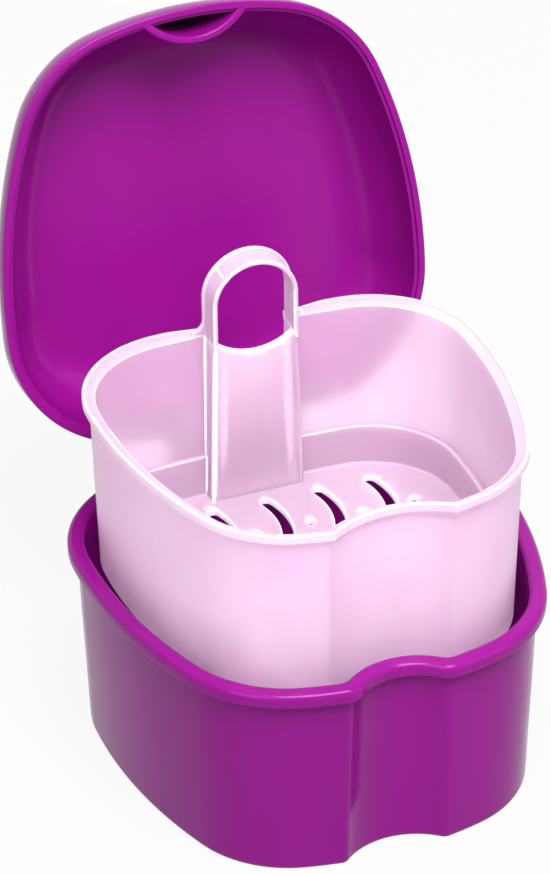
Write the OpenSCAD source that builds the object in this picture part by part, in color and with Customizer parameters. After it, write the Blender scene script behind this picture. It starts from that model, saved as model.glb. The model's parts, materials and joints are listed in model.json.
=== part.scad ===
// Hinged denture case with a lift-out rinsing basket.
// Three mouldings: a cup with a thumb notch at its front, a domed lid that
// pivots on pins at the back, and a translucent basket with a finger loop.
// Millimetres. +Z is up, the thumb notch faces -Y and the hinge is at +Y.
// The origin is the middle of the face that the case stands on. The case is
// drawn open: lid against its stop, basket lifted clear of the water.

/* [Outline] */
// Width across the lip of the cup
case_w = 92; // [86:1:100]
// Depth from the crown of the front to the back edge of the lip
case_d = 90.5; // [86:0.5:96]
// Radius of the slight crown along the back
back_r = 420; // [200:10:800]
// Radius of the bowed sides
side_r = 112; // [90:1:200]
// Radius of the bowed front
front_r = 80; // [65:1:130]
// Radius of the two back corners
back_corner_r = 27; // [22:0.5:32]
// Radius of the two front corners
front_corner_r = 27; // [22:0.5:30]
// How far behind the middle the case is widest
widest_y = 14; // [4:1:18]

/* [Thumb notch] */
// Radius of the notch in the front
notch_r = 12; // [9:0.5:15]
// Depth of the notch, back from the crown of the front
notch_depth = 5; // [3.5:0.25:6]
// Radius of the two edges beside the notch
notch_edge_r = 1.5; // [1:0.25:2.5]

/* [Cup] */
// Height of the cup
cup_h = 45; // [38:1:56]
// Wall thickness of the cup
cup_wall = 1.6; // [1.2:0.1:2.2]
// Floor thickness of the cup
cup_floor = 2; // [1.5:0.1:3]
// How far the lip stands out from the wall under it
lip_out = 1.9; // [1.2:0.1:2.5]
// Height of the lip
lip_h = 3; // [2:0.25:4.5]
// How much the wall leans in from lip to foot
cup_lean = 1.4; // [0.6:0.1:2.5]
// Radius of the bottom edge
foot_r = 1.2; // [0.6:0.1:2]
// Radius inside the cup between wall and floor
cup_inside_r = 2; // [1:0.25:2.25]

/* [Basket] */
// How far the rim of the seated basket lies below the top of the cup
rim_below = 2.5; // [2.2:0.1:6]
// Wall thickness of the basket
basket_wall = 1.3; // [1:0.1:1.6]
// Floor thickness of the basket
basket_floor = 1.2; // [1:0.1:1.8]
// Gap all round between the basket's rim and the inside of the cup
basket_gap = 0.7; // [0.6:0.1:1.5]
// How far the rim stands out from the basket's wall
rim_out = 1.45; // [1:0.05:1.8]
// Height of the rim's outer face
rim_h = 2; // [1.5:0.1:3]
// How much lower the inner edge of the rim is than its outer edge
rim_fall = 1.1; // [0.8:0.1:1.5]
// How much the basket's wall leans in from rim to foot
basket_lean = 0.95; // [0.6:0.05:1.6]
// How much wider in radius the basket's notch is than the cup's
basket_notch_flare = 5; // [2:0.5:7]
// Height of the ledge inside the basket above its foot
ledge_h = 11.1; // [8:0.1:14]
// Width of that ledge
ledge_w = 0.8; // [0.5:0.05:1.2]
// How high the basket is lifted from its seat
lift = 36.8; // [30:0.1:40]
// Gap under the seated basket
seat_gap = 0.3; // [0.2:0.05:0.5]

/* [Finger loop] */
// Width of the loop
loop_w = 18.5; // [17:0.5:21]
// Height of the loop above the basket's rim
loop_rise = 16.6; // [14:0.2:16.8]
// Thickness of the strip that the loop is made of
loop_band = 1; // [0.8:0.1:1.2]
// Depth of that strip, front to back
loop_d = 5.9; // [5.5:0.1:6.2]
// How far the column under the loop stands in from the wall
column_in = 4.9; // [4.6:0.1:5.2]
// How far the opening reaches below the rim at its sides
opening_drop = 1.2; // [0.6:0.1:2]
// How much deeper the opening is at its middle than at its sides
opening_sag = 3.1; // [2:0.1:4]

/* [Drain slots] */
// Distance from slot to slot
slot_pitch = 11.6; // [10:0.1:12]
// Width of a slot
slot_w = 2.3; // [1.6:0.1:2.8]
// Radius of a slot's curve
slot_r = 19; // [16:0.5:24]
// Slots in a row
slots_per_row = 5; // [3:1:5]
// Diameter of the round holes between the slots
drain_d = 1.8; // [1.2:0.1:2.4]

/* [Lid] */
// Outside height of the lid
lid_h = 19.5; // [19.25:0.25:22]
// Wall thickness of the lid
lid_wall = 1.8; // [1.4:0.1:2.4]
// How far the lid's edge stands out past the lip
lid_out = 0.35; // [0.2:0.05:0.6]
// Gap between the lip and the shut lid
lid_gap = 0.3; // [0.2:0.05:0.5]
// Height of the straight band round the lid's edge
band_h = 4; // [3.5:0.25:5]
// Width of the rounding between the band and the flat top
dome_w = 13.2; // [10:0.2:16]
// Width of the flat face of the lid's edge
edge_w = 1.5; // [1.2:0.1:1.8]
// Height of the small step behind that face
edge_step = 0.8; // [0.5:0.1:1.2]
// Thickness of the crescent rib that follows the notch
rib_t = 1.7; // [1.2:0.1:2]

/* [Hinge] */
// How far the hinge axis lies behind the lip
hinge_back = 3.2; // [2.9:0.1:4]
// Diameter of the hinge barrel and ears
barrel_d = 5.2; // [4.6:0.1:5.4]
// Diameter of the moulded pins
pin_d = 2.6; // [2:0.1:3]
// Clearance round a pin in its ear
pin_clear = 0.06; // [0.03:0.01:0.1]
// Length of the lid's barrel between the ears
barrel_len = 20; // [14:1:28]
// Width of each ear
ear_w = 4; // [3:0.5:6]
// Gap at each end of the barrel
ear_gap = 0.3; // [0.2:0.05:0.5]
// How far the lid opens
open_angle = 101; // [92:1:108]

/* [Hidden] */

// Segments along each arc of half the outline, from back to front. The sides
// have two, which meet where the case is widest.
ARC_STEPS = [4, 10, 2, 4, 8, 4, 3, 6];
// Segments of a small edge rounding and of a large one
EDGE_STEPS = 3;
DOME_STEPS = 7;
// Facets of a round bore, pin or hole
ROUND = 48;
// Smallest radius kept on the edges beside the notch
LEAST_EDGE_R = 0.8;
// Overlap that joins two forms of one moulding
SINK = 0.5;
// Fullness of the lid's rounding, where 2 is a quarter of an ellipse
DOME_POWER = 2.4;
// Radii of the lip's underside, outer and inner edge
LIP_UNDER_R = 0.4;
LIP_R = 1.3;
LIP_IN_R = 0.9;
// Radii of the basket's edges and of the lid's edge
RIM_R = 0.6;
LID_EDGE_R = 0.4;
// Height of the hollow flare under the basket's rim, the angle at which it
// meets the rim, and the width and step of the bead round the rim's top
FLARE_H = 2.5;
FLARE_A1 = 78;
TOP_BEAD_W = 0.9;
TOP_BEAD_STEP = 0.4;
// Width of the step behind the face of the lid's edge, and how much wider the
// inner rounding is than an even wall would make it
STEP_W = 0.7;
DOME_IN = 0.6;
// Height of the basket's floor above the rim it stands on
FLOOR_LIFT = 0.2;
// Depth of the loop's root below the basket's rim
LOOP_ROOT = 5;
// Thickness of the bead along the loop's back edge, and how far it stands out
BEAD_T = 0.9;
BEAD_OUT = 0.5;
// Radius of the hollow corners at the loop's feet
FEET_R = 3;
// Angles at the two ends of a drain slot
SLOT_A0 = -40;
SLOT_A1 = 19.5;
// Gap between the lid's crescent rib and the notched lip, seen from above
RIB_GAP = 0.7;
// How far the stop stands behind the hinge axis, its gap to the open lid, and
// how far the gusset under the ear reaches down the wall
SHOULDER_Y = 3.6;
STOP_GAP = 0.1;
GUSSET_H = 13;
// How far the foot of the ear's head reaches below the top of the lip
HEAD_DROP = 0.6;
// Where the crowns of the slots lie in the two rows, and how far in front of
// them the round holes are
SLOT_ROWS = [22.9, -6];
HOLE_DOWN = 4;

purple = [0.55, 0.08, 0.53];
frosted = [0.93, 0.82, 0.93];

// Centres of the outline's arcs. Each corner touches the two arcs beside it.
back_c = [0, case_d / 2 - back_r];
side_c = [case_w / 2 - side_r, widest_y];
front_c = [0, front_r - case_d / 2];
back_corner_c = crossing(back_c, back_r - back_corner_r, side_c, side_r - back_corner_r);
front_corner_c = crossing(front_c, front_r - front_corner_r, side_c, side_r - front_corner_r);

// Offsets from the outline of the lip, outwards positive
lip_w = lip_out + cup_wall;
cup_foot = -lip_out - cup_lean;
basket_rim = -lip_w - basket_gap;
basket_top = basket_rim - rim_out;
basket_foot = basket_top - basket_lean;
basket_in = basket_top - basket_wall;

// Inside of the lid: its offset at the edge, straight band and rounding
lid_in = lid_out - edge_w - STEP_W;
inner_band_h = band_h / 2;
inner_dome_w = dome_w - (lid_out - lid_in) + DOME_IN;

// Heights and the hinge axis
lid_z = cup_h + lid_gap;
seat_z = cup_floor + seat_gap;
basket_h = cup_h - rim_below - seat_z;
floor_top = FLOOR_LIFT + basket_floor;
hinge_y = case_d / 2 + hinge_back;
hinge_z = lid_z;
loop_front = case_d / 2 + basket_in - column_in;
loop_back = loop_front + loop_d;
pin_len = ear_gap + ear_w;

// Where a circle's point lies at an angle
function polar(c, r, a) = c + r * [cos(a), sin(a)];
// Angle of the line from one point to another
function bearing(from, to) = atan2(to[1] - from[1], to[0] - from[0]);
// Point right of the middle where two circles cross
function crossing(c1, r1, c2, r2) =
    let (v = c2 - c1, gap = norm(v), a = (r1 * r1 - r2 * r2 + gap * gap) / (2 * gap))
    let (side = [v[1], -v[0]] / gap * sqrt(r1 * r1 - a * a), mid = c1 + v * a / gap)
    side[0] > 0 ? mid + side : mid - side;
// Points along an arc, its end left out
function arc(c, r, a0, a1, steps) =
    [for (i = [0 : steps - 1]) polar(c, r, a0 + (a1 - a0) * i / steps)];

// Back, corners and side of half the outline, set out by d
function half_round(d) =
    let (a1 = bearing(back_c, back_corner_c), a2 = bearing(side_c, back_corner_c))
    let (a3 = bearing(side_c, front_corner_c), a4 = bearing(front_c, front_corner_c))
    concat(arc(back_c, back_r + d, 90, a1, ARC_STEPS[0]),
           arc(back_corner_c, back_corner_r + d, a1, a2, ARC_STEPS[1]),
           arc(side_c, side_r + d, a2, 0, ARC_STEPS[2]),
           arc(side_c, side_r + d, 0, a3, ARC_STEPS[3]),
           arc(front_corner_c, front_corner_r + d, a3, a4, ARC_STEPS[4]));

// Plain bowed front of half the outline, set out by d
function half_front(d) =
    let (a4 = bearing(front_c, front_corner_c), steps = ARC_STEPS[5] + ARC_STEPS[6] + ARC_STEPS[7])
    concat(arc(front_c, front_r + d, a4, -90, steps), [polar(front_c, front_r + d, -90)]);

// Front of half the outline with a notch of radius r and depth t, set out by d
function half_notch(d, r, t) =
    let (a4 = bearing(front_c, front_corner_c), c = [0, t - r - case_d / 2])
    let (edge = max(notch_edge_r + d, LEAST_EDGE_R))
    let (e = crossing(front_c, front_r + d - edge, c, r - d + edge))
    let (a5 = bearing(front_c, e), a6 = bearing(c, e))
    concat(arc(front_c, front_r + d, a4, a5, ARC_STEPS[5]),
           arc(e, edge, a5, a6 - 180, ARC_STEPS[6]),
           arc(c, r - d, a6, 90, ARC_STEPS[7]), [polar(c, r - d, 90)]);

// A half outline and its mirror image, as one closed outline
function both_halves(half) =
    concat(half, [for (i = [len(half) - 2 : -1 : 1]) [-half[i][0], half[i][1]]]);
function plain_outline(d) = both_halves(concat(half_round(d), half_front(d)));
function cup_outline(d) = both_halves(concat(half_round(d), half_notch(d, notch_r, notch_depth)));
function basket_outline(d) =
    both_halves(concat(half_round(d), half_notch(d, notch_r + basket_notch_flare, notch_depth)));

// Offsets and heights along a rounded edge
function edge_round(d, z, r, a0, a1, steps) =
    [for (i = [0 : steps]) polar([d, z], r, a0 + (a1 - a0) * i / steps)];

// A skin through equal outlines. Both ends are closed with a flat face.
module loft(rings) {
    n = len(rings[0]);
    last = (len(rings) - 1) * n;
    bottom = [for (i = [n - 1 : -1 : 0]) i];
    top = [for (i = [0 : n - 1]) last + i];
    sides = [for (j = [0 : len(rings) - 2], i = [0 : n - 1])
        let (a = j * n + i, b = j * n + (i + 1) % n)
        each [[a, b, b + n], [a, b + n, a + n]]];
    polyhedron(points = [for (r = rings) each r], faces = concat([bottom], sides, [top]));
}
function at_height(points, z) = [for (p = points) [p[0], p[1], z]];

// Cup: drafted wall, rounded lip and hinge ears
function cup_profile() = concat(
    edge_round(cup_foot - foot_r, foot_r, foot_r, -90, 0, EDGE_STEPS),
    [[-lip_out, cup_h - lip_h]],
    edge_round(-LIP_UNDER_R, cup_h - lip_h + LIP_UNDER_R, LIP_UNDER_R, -90, 0, 2),
    edge_round(-LIP_R, cup_h - LIP_R, LIP_R, 0, 90, EDGE_STEPS + 1),
    edge_round(LIP_IN_R - lip_w, cup_h - LIP_IN_R, LIP_IN_R, 90, 180, EDGE_STEPS),
    edge_round(cup_foot - cup_wall - cup_inside_r, cup_floor + cup_inside_r,
               cup_inside_r, 0, -90, EDGE_STEPS + 1));

module cup() {
    color(purple) {
        loft([for (p = cup_profile()) at_height(cup_outline(p[0]), p[1])]);
        for (side = [-1, 1])
            translate([side * (barrel_len / 2 + ear_gap + ear_w / 2), 0, 0]) ear();
    }
}

// Ear: a round head with a bore, a square shoulder behind it that stops the
// lid, and a gusset down the wall
module ear() {
    r = barrel_d / 2;
    lid_wall_y = hinge_back - lid_out - STOP_GAP;
    shoulder_z = (lid_wall_y + SHOULDER_Y * cos(open_angle)) / sin(open_angle);
    wall_y = -hinge_back - lip_out - cup_wall * 0.75;
    head_z = -lid_gap - HEAD_DROP;
    translate([0, hinge_y, hinge_z]) rotate([90, 0, 90])
        difference() {
            union() {
                cylinder(h = ear_w, r = r, center = true, $fn = ROUND);
                linear_extrude(height = ear_w, center = true)
                    polygon([[-hinge_back - SINK, head_z], [-r * 0.8, head_z],
                             [0, 0], [0, shoulder_z], [SHOULDER_Y, shoulder_z],
                             [SHOULDER_Y, head_z], [wall_y, -GUSSET_H], [wall_y, -lip_h - 2]]);
            }
            cylinder(h = ear_w + 1, d = pin_d + 2 * pin_clear, center = true, $fn = ROUND);
        }
}

// Lid: a dome with a straight band at its edge, drawn shut
function dome(a) = [pow(cos(a), 2 / DOME_POWER), pow(sin(a), 2 / DOME_POWER)];
function dome_line(d, z, w, h, a0, a1, steps) =
    [for (i = [0 : steps]) let (s = dome(a0 + (a1 - a0) * i / steps)) [d - w * (1 - s[0]), z + h * s[1]]];
function lid_profile() = concat(
    dome_line(lid_in, inner_band_h, inner_dome_w, lid_h - lid_wall - inner_band_h, 90, 0, DOME_STEPS),
    [[lid_in, edge_step], [lid_in + STEP_W, edge_step - 0.1]],
    edge_round(lid_in + STEP_W + LID_EDGE_R / 2, LID_EDGE_R / 2, LID_EDGE_R / 2, 180, 270, 1),
    edge_round(lid_out - LID_EDGE_R, LID_EDGE_R, LID_EDGE_R, -90, 0, 2),
    dome_line(lid_out, band_h, dome_w, lid_h - band_h, 0, 90, DOME_STEPS));

module lid_shut() {
    translate([0, 0, lid_z])
        loft([for (p = lid_profile()) at_height(plain_outline(p[0]), p[1])]);
    translate([0, 0, lid_z]) notch_rib();
    lid_barrel();
}

// Rib that closes the gap over the notched lip, its top inside the dome
module notch_rib() {
    c = [0, notch_depth - notch_r - case_d / 2];
    mid_r = notch_r + RIB_GAP + rib_t / 2;
    end = crossing(front_c, front_r + lid_out - edge_w * 0.7, c, mid_r);
    half_a = 90 - bearing(c, end);
    steps = 12;
    spans = [for (i = [0 : steps]) 90 - half_a + 2 * half_a * i / steps];
    points = [for (a = spans, s = [[-1, 0], [1, 0], [1, 1], [-1, 1]])
        let (p = polar(c, mid_r + s[0] * rib_t / 2, a))
        [p[0], p[1], s[1] == 0 ? 0 : dome_middle(front_r + lid_out - norm(p - front_c))]];
    sides = [for (i = [0 : steps - 1], k = [0 : 3])
        let (a = 4 * i + k, b = 4 * i + (k + 1) % 4)
        each [[a, b, b + 4], [a, b + 4, a + 4]]];
    polyhedron(points = points,
               faces = concat([[3, 2, 1, 0]], sides, [[for (k = [0 : 3]) 4 * steps + k]]));
}
// Height of the middle of the dome's wall at a distance in from the lid's edge
function dome_height(t, z, w, h) =
    z + h * pow(max(0, 1 - pow(max(0, 1 - t / w), DOME_POWER)), 1 / DOME_POWER);
function dome_middle(t) =
    let (outer = dome_height(t, band_h, dome_w, lid_h - band_h))
    let (roof = lid_h - lid_wall - inner_band_h)
    let (inner = dome_height(t - lid_out + lid_in, inner_band_h, inner_dome_w, roof))
    (outer + max(inner, edge_step)) / 2;

// Barrel between the ears, with a pin at each end and a web to the lid's band
module lid_barrel() {
    r = barrel_d / 2;
    translate([0, hinge_y, hinge_z]) rotate([0, 90, 0]) {
        cylinder(h = barrel_len, r = r, center = true, $fn = ROUND);
        cylinder(h = barrel_len + 2 * pin_len, d = pin_d, center = true, $fn = ROUND);
    }
    web = hinge_back - lid_out + edge_w / 2;
    translate([-barrel_len / 2, hinge_y - web, hinge_z + lid_gap])
        cube([barrel_len, web, r - lid_gap]);
}

module lid() {
    color(purple)
        translate([0, hinge_y, hinge_z]) rotate([-open_angle, 0, 0])
            translate([0, -hinge_y, -hinge_z]) lid_shut();
}

// Basket, drawn standing on its own foot
function basket_profile() =
    let (ledge_out = basket_in - basket_lean * (1 - ledge_h / basket_h))
    let (ledge_in = ledge_out - ledge_w, flare_z = basket_h - rim_h - FLARE_H)
    concat([[ledge_in - RIM_R, FLOOR_LIFT], [ledge_in, 0]],
           edge_round(basket_foot - RIM_R, RIM_R, RIM_R, -90, 0, 2),
           [for (a = [0 : FLARE_A1 / 3 : FLARE_A1])
               [basket_top + rim_out * (1 - cos(a)), flare_z + FLARE_H * sin(a)]],
           [[basket_rim, basket_h - rim_h]],
           edge_round(basket_rim - RIM_R / 2, basket_h - RIM_R / 2, RIM_R / 2, 0, 90, 2),
           [[basket_rim - TOP_BEAD_W, basket_h],
            [basket_rim - TOP_BEAD_W, basket_h - TOP_BEAD_STEP],
            [basket_in + RIM_R / 2, basket_h - rim_fall],
            [basket_in, basket_h - rim_fall - RIM_R / 2],
            [ledge_out, ledge_h], [ledge_in, ledge_h - RIM_R / 4],
            [ledge_in, floor_top + RIM_R], [ledge_in - RIM_R, floor_top]]);

module basket_shell() {
    loft([for (p = basket_profile()) at_height(basket_outline(p[0]), p[1])]);
}

// Round-topped face of the loop, w wide
module loop_face(w, top) {
    r = w / 2;
    translate([0, top - r]) circle(r = r, $fn = 2 * ROUND);
    translate([-r, basket_h - LOOP_ROOT]) square([w, top - r - basket_h + LOOP_ROOT]);
}
// Hollow corners that spread the loop's feet into the rim
module loop_feet() {
    for (side = [0, 1])
        mirror([side, 0])
            difference() {
                translate([loop_w / 2 - SINK, basket_h - rim_fall - SINK]) square(FEET_R + SINK);
                translate([loop_w / 2 + FEET_R, basket_h - rim_fall + FEET_R])
                    circle(r = FEET_R, $fn = ROUND);
            }
}
module opening_face() {
    r = loop_w / 2 - loop_band;
    top = basket_h + loop_rise - loop_band;
    low = basket_h - opening_drop;
    sag_r = (r * r + opening_sag * opening_sag) / (2 * opening_sag);
    translate([0, top - r]) circle(r = r, $fn = 2 * ROUND);
    translate([-r, low]) square([2 * r, top - r - low]);
    intersection() {
        translate([0, low - opening_sag + sag_r]) circle(r = sag_r, $fn = 2 * ROUND);
        translate([-r, low - 2 * opening_sag]) square([2 * r, 2 * opening_sag + 0.01]);
    }
}
// An outline in X and Z made a slab from y0 back to y1
module slab(y0, y1) {
    translate([0, y1, 0]) rotate([90, 0, 0]) linear_extrude(height = y1 - y0) children();
}

// Column: stands in from the back wall, from the floor up to the loop
module column() {
    wall_y = case_d / 2 + basket_in + SINK;
    foot_z = floor_top - SINK;
    translate([-loop_w / 2, 0, 0]) rotate([90, 0, 90]) linear_extrude(height = loop_w)
        polygon([[loop_front, foot_z], [wall_y - basket_lean, foot_z],
                 [wall_y, basket_h - rim_h], [loop_front, basket_h - rim_h]]);
}
// Hollow behind the column, open at the back and at the top
module channel() {
    w = loop_w - 2 * basket_wall;
    translate([-w / 2, loop_front + basket_wall, floor_top])
        cube([w, case_d / 2 - loop_front, basket_h]);
}

// Outline of a slot bowed to the right, its two ends round
function slot_outline() = concat(
    arc([0, 0], slot_r + slot_w / 2, SLOT_A0, SLOT_A1, 12),
    arc(polar([0, 0], slot_r, SLOT_A1), slot_w / 2, SLOT_A1, SLOT_A1 + 180, 6),
    arc([0, 0], slot_r - slot_w / 2, SLOT_A1, SLOT_A0, 10),
    arc(polar([0, 0], slot_r, SLOT_A0), slot_w / 2, SLOT_A0 + 180, SLOT_A0 + 360, 6));

// Two rows of slots, their back ends centred on the basket, with a round hole
// half a pitch to the right of each
module drains() {
    h = basket_floor + 2;
    for (row = SLOT_ROWS, i = [0 : slots_per_row - 1]) {
        x = (i - (slots_per_row - 1) / 2) * slot_pitch;
        translate([x - slot_r * cos(SLOT_A1), row, -1])
            linear_extrude(height = h) polygon(slot_outline());
        translate([x + slot_pitch / 2, row - HOLE_DOWN, -1])
            cylinder(h = h, d = drain_d, $fn = ROUND / 2);
    }
}

module basket() {
    color(frosted, 0.8)
        translate([0, 0, seat_z + lift])
            difference() {
                union() {
                    basket_shell();
                    column();
                    slab(loop_front, loop_back) loop_face(loop_w, basket_h + loop_rise);
                    slab(loop_back - BEAD_T, loop_back) {
                        loop_face(loop_w + 2 * BEAD_OUT, basket_h + loop_rise + BEAD_OUT);
                        loop_feet();
                    }
                }
                slab(loop_front - 1, case_d / 2) opening_face();
                channel();
                drains();
            }
}

cup();
lid();
basket();
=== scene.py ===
# %% [markdown]
# A denture case in three mouldings: a glossy purple cup, its hinged lid, and a frosted basket
# that is lifted out by a finger loop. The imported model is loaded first, because it fixes where
# every piece goes and how it moves. What this script adds is the fine shape and the finish.

import json
import math

import bpy
import numpy as np
from mathutils import Matrix, Vector


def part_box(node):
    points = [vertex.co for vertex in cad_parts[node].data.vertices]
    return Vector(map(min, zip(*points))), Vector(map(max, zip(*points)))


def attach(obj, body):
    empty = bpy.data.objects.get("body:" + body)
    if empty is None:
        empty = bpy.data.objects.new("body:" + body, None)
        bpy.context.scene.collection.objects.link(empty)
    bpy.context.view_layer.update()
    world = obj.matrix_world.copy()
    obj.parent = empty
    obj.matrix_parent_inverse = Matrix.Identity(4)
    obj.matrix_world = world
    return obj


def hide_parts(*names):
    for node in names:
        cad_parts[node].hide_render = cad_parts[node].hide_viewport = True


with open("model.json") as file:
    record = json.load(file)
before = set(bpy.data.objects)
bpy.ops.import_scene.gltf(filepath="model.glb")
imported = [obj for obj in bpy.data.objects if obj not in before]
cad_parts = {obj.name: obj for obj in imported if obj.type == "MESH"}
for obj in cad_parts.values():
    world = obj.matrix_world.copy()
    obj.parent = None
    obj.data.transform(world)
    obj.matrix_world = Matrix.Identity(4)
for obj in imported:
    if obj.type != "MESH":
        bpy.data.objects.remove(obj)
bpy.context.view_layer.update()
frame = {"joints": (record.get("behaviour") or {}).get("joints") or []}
MM = 0.001

# %% [markdown]
# The frame already says how far the lid opens, where its hinge is and how high the basket is
# lifted. Reading those from the joints keeps the fine shapes on the solids that they dress.

# %% Places that the joints give, in millimetres
joints = {joint["name"]: joint for joint in frame["joints"]}
hinge_y, hinge_z = (value / MM for value in joints["lid_hinge"]["pos_m"][1:])
open_angle = math.radians(joints["lid_hinge"]["range_deg"][1])
basket_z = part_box("basket")[0].z / MM
print("hinge at", round(hinge_y, 2), round(hinge_z, 2), "basket stands at", round(basket_z, 2))

# %% [markdown]
# Each moulding is drawn from one outline, seen from above: a back, two sides and a front that bow
# slightly, joined by round corners, with a thumb notch in the front. On the real case every wall
# follows that outline at some distance. Tangent circles describe it well, because setting the
# outline outwards only changes their radii.

# %% Driving sizes of the outline, in millimetres
HINGE_BACK = 3.2
CASE_W = 92.0
case_d = 2 * (hinge_y - HINGE_BACK)
BACK_R, SIDE_R, FRONT_R, CORNER_R = 420.0, 112.0, 80.0, 27.0
WIDEST_Y = 14.0
NOTCH_R, NOTCH_DEPTH, NOTCH_EDGE_R = 12.0, 5.0, 1.5
LEAST_EDGE_R = 0.8
print("outline is", CASE_W, "wide and", round(case_d, 2), "deep")


# %% Arcs and crossings, worked out for many offsets at once
def arc(centre, radius, start, end, fractions):
    """Points on a circle: its centre plus its radius times the cosine and sine of an angle that
    runs from start to end by the given fractions. Radius and angles may be columns."""
    angle = start + (end - start) * fractions
    x = centre[..., :1] + radius * np.cos(angle)
    y = centre[..., 1:] + radius * np.sin(angle)
    return np.stack([x, y], axis=-1)


def bearing(start, end):
    """Angle of the line from one point to another, as the arc tangent of its rise over its run."""
    line = end - start
    return np.arctan2(line[..., 1:], line[..., :1])


def crossing(centre_a, radius_a, centre_b, radius_b):
    """Where two circles cross, right of the middle. Along the line of centres the point lies
    (a squared - b squared + gap squared) / (2 gap) from the first, and off it by Pythagoras."""
    line = centre_b - centre_a
    gap = np.linalg.norm(line, axis=-1, keepdims=True)
    along = (radius_a**2 - radius_b**2 + gap**2) / (2 * gap)
    across = np.sqrt(radius_a**2 - along**2)
    side = np.stack([line[..., 1], -line[..., 0]], axis=-1) / gap * across
    middle = centre_a + line / gap * along
    return np.where(side[..., :1] > 0, middle + side, middle - side)


def steps(count):
    """Even fractions from 0 towards 1, the last left out."""
    return np.arange(count) / count


quarter = arc(np.zeros(2), 1.0, 0.0, math.pi / 2, steps(3))
print("a quarter circle starts", quarter.round(2).tolist())

# %% The outline of the case, set out by any distance
back_c = np.array([0.0, case_d / 2 - BACK_R])
side_c = np.array([CASE_W / 2 - SIDE_R, WIDEST_Y])
front_c = np.array([0.0, FRONT_R - case_d / 2])
back_corner_c = crossing(back_c, BACK_R - CORNER_R, side_c, SIDE_R - CORNER_R)
front_corner_c = crossing(front_c, FRONT_R - CORNER_R, side_c, SIDE_R - CORNER_R)


def outline(offset, notch_r=None, softer=0.0):
    """Closed outlines, one a row, clockwise from above and from the middle of the back. Every
    circle's radius grows by the offset, and the notch's shrinks. No notch gives a plain front,
    and the softer value, one a row or one for all, adds to the radius beside the notch."""
    d = np.atleast_1d(offset)[:, None].astype(float)
    back_end, side_start = bearing(back_c, back_corner_c), bearing(side_c, back_corner_c)
    side_end, front_start = bearing(side_c, front_corner_c), bearing(front_c, front_corner_c)
    parts = [
        arc(back_c, BACK_R + d, math.pi / 2, back_end, steps(40)),
        arc(back_corner_c, CORNER_R + d, back_end, side_start, steps(44)),
        arc(side_c, SIDE_R + d, side_start, 0.0, steps(16)),
        arc(side_c, SIDE_R + d, 0.0, side_end, steps(24)),
        arc(front_corner_c, CORNER_R + d, side_end, front_start, steps(36)),
    ]
    if notch_r is None:
        parts.append(arc(front_c, FRONT_R + d, front_start, -math.pi / 2, np.linspace(0, 1, 53)))
    else:
        notch_c = np.array([0.0, NOTCH_DEPTH - notch_r - case_d / 2])
        edge_r = np.maximum(NOTCH_EDGE_R + d, LEAST_EDGE_R) + np.reshape(softer, (-1, 1))
        edge_c = crossing(front_c, FRONT_R + d - edge_r, notch_c, notch_r - d + edge_r)
        front_end, notch_start = bearing(front_c, edge_c), bearing(notch_c, edge_c)
        parts.append(arc(front_c, FRONT_R + d, front_start, front_end, steps(14)))
        parts.append(arc(edge_c, edge_r, front_end, notch_start - math.pi, steps(14)))
        parts.append(arc(notch_c, notch_r - d, notch_start, math.pi / 2, np.linspace(0, 1, 25)))
    right = np.concatenate(parts, axis=1)
    return np.concatenate([right, right[:, -2:0:-1] * [-1, 1]], axis=1)


print("an outline has", outline(0.0, NOTCH_R).shape[1], "points")


# %% Profiles: rounded edges and straight runs
def rounding(offset, height, radius, start, end, count=7):
    """Offsets and heights on a circle, from one angle in degrees to another."""
    angle = np.radians(np.linspace(start, end, count))
    return np.column_stack([offset + radius * np.cos(angle), height + radius * np.sin(angle)])


def straight(start, end, count=12):
    """Points on a straight run between two points, closest together at its ends, where
    the cosine of an even angle says how far along each lies."""
    share = (1 - np.cos(np.linspace(0, math.pi, count + 2)[1:-1])) / 2
    return np.asarray(start) + share[:, None] * (np.asarray(end) - np.asarray(start))


def rings(profile, notch_r=None, softer=0.0):
    """A grid of points: for each offset and height of the profile, the outline at that offset."""
    flat = outline(profile[:, 0], notch_r, softer)
    height = np.broadcast_to(profile[:, 1, None, None], flat.shape[:2] + (1,))
    return np.concatenate([flat, height], axis=-1)


def smooth_step(value, low, high):
    """0 below low, 1 above high, and 3t squared - 2t cubed between them."""
    t = np.clip((value - low) / (high - low), 0, 1)
    return t * t * (3 - 2 * t)


def with_caps(grid, count=14):
    """The grid with rings inside its first and last, shrinking evenly to their middles, so that
    what a cut changes at its edge stays near the edge."""
    share = (np.arange(1, count + 1) / (count + 1))[:, None, None]
    first, last = (grid[end].mean(axis=0) for end in (0, -1))
    start = first + (grid[0] - first) * share
    return np.concatenate([start, grid, last + (grid[-1] - last) * share[::-1]])


print("a rounded edge", rounding(0, 0, 1, 0, 90, 3).round(2).tolist())


# %% From grids of points to closed meshes
def volume_of(mesh):
    """Volume of a closed mesh in cubic millimetres: a sixth of the sum, over its triangles, of
    the triple product of the corners. It is above 0 when the faces point outwards."""
    mesh.calc_loop_triangles()
    points = np.empty(len(mesh.vertices) * 3)
    mesh.vertices.foreach_get("co", points)
    corners = np.empty(len(mesh.loop_triangles) * 3, dtype=int)
    mesh.loop_triangles.foreach_get("vertices", corners)
    a, b, c = points.reshape(-1, 3)[corners].reshape(-1, 3, 3).transpose(1, 0, 2)
    return float((a * np.cross(b, c)).sum() / 6 / MM**3)


def new_piece(name, points, faces):
    """An object at the origin from points in millimetres and lists of faces."""
    mesh = bpy.data.meshes.new(name)
    mesh.from_pydata((points * MM).tolist(), [], faces)
    piece = bpy.data.objects.new(name, mesh)
    bpy.context.scene.collection.objects.link(piece)
    if volume_of(mesh) < 0:
        mesh.flip_normals()
    print(name, len(mesh.polygons), "faces,", round(volume_of(mesh)), "cubic mm")
    return piece


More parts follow.
